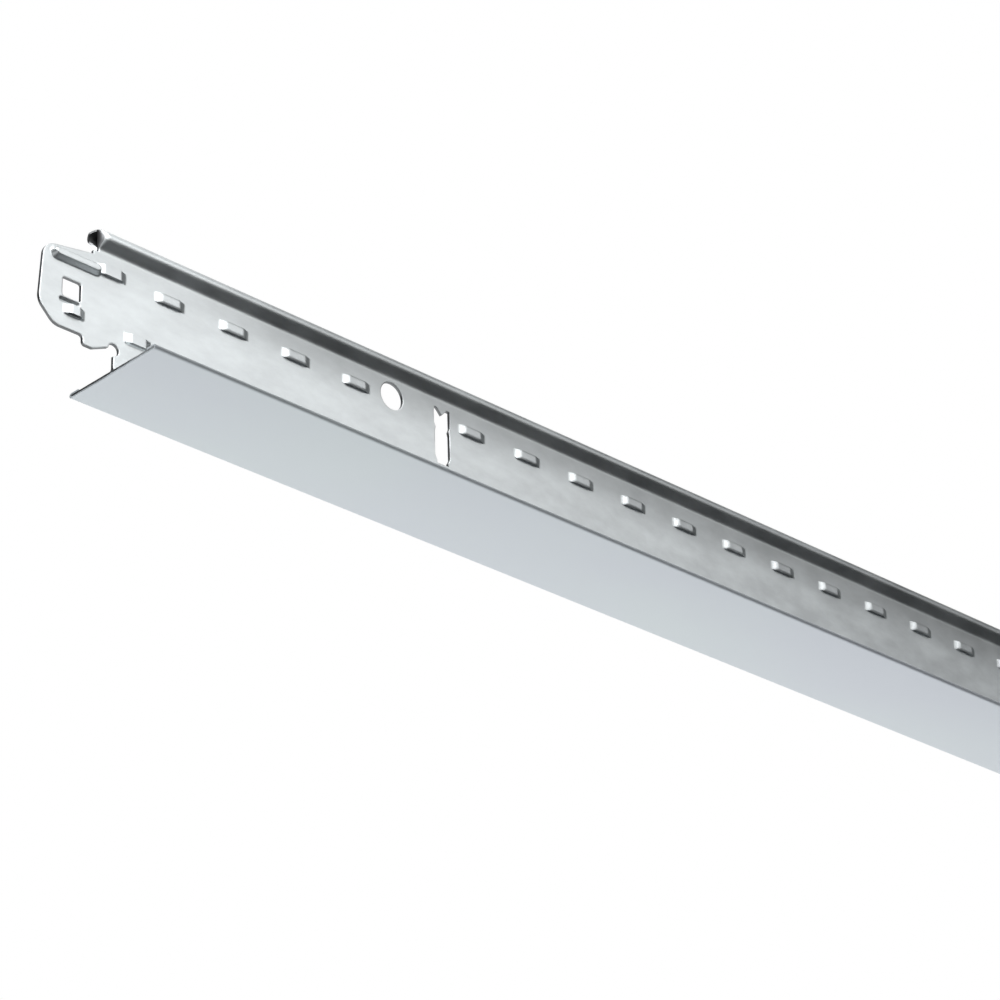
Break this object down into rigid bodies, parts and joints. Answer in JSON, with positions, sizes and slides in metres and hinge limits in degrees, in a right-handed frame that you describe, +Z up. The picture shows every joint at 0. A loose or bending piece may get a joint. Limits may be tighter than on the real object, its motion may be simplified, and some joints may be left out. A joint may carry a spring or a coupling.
{
  "type": "ceiling grid main tee",
  "caption": "Exposed-grid ceiling main tee: double steel web with hollow bulb, stitched and slotted, coupling tongues at both ends, and a folded painted face cap.",
  "frame": {"origin": "middle of the visible face, on its underside", "axes": "+X along the tee, +Y across the face, +Z up from the visible face through the web to the bulb"},
  "size_m": [3.033, 0.024, 0.028],
  "materials": {
    "galvanised": "hot-dip zinc, faintly mottled, semi-gloss",
    "painted_face": "smooth satin white with a cool tint"
  },
  "bodies": {
    "root": {"tee_body": "galvanised", "face_cap": "painted_face"}
  },
  "joints": []
}
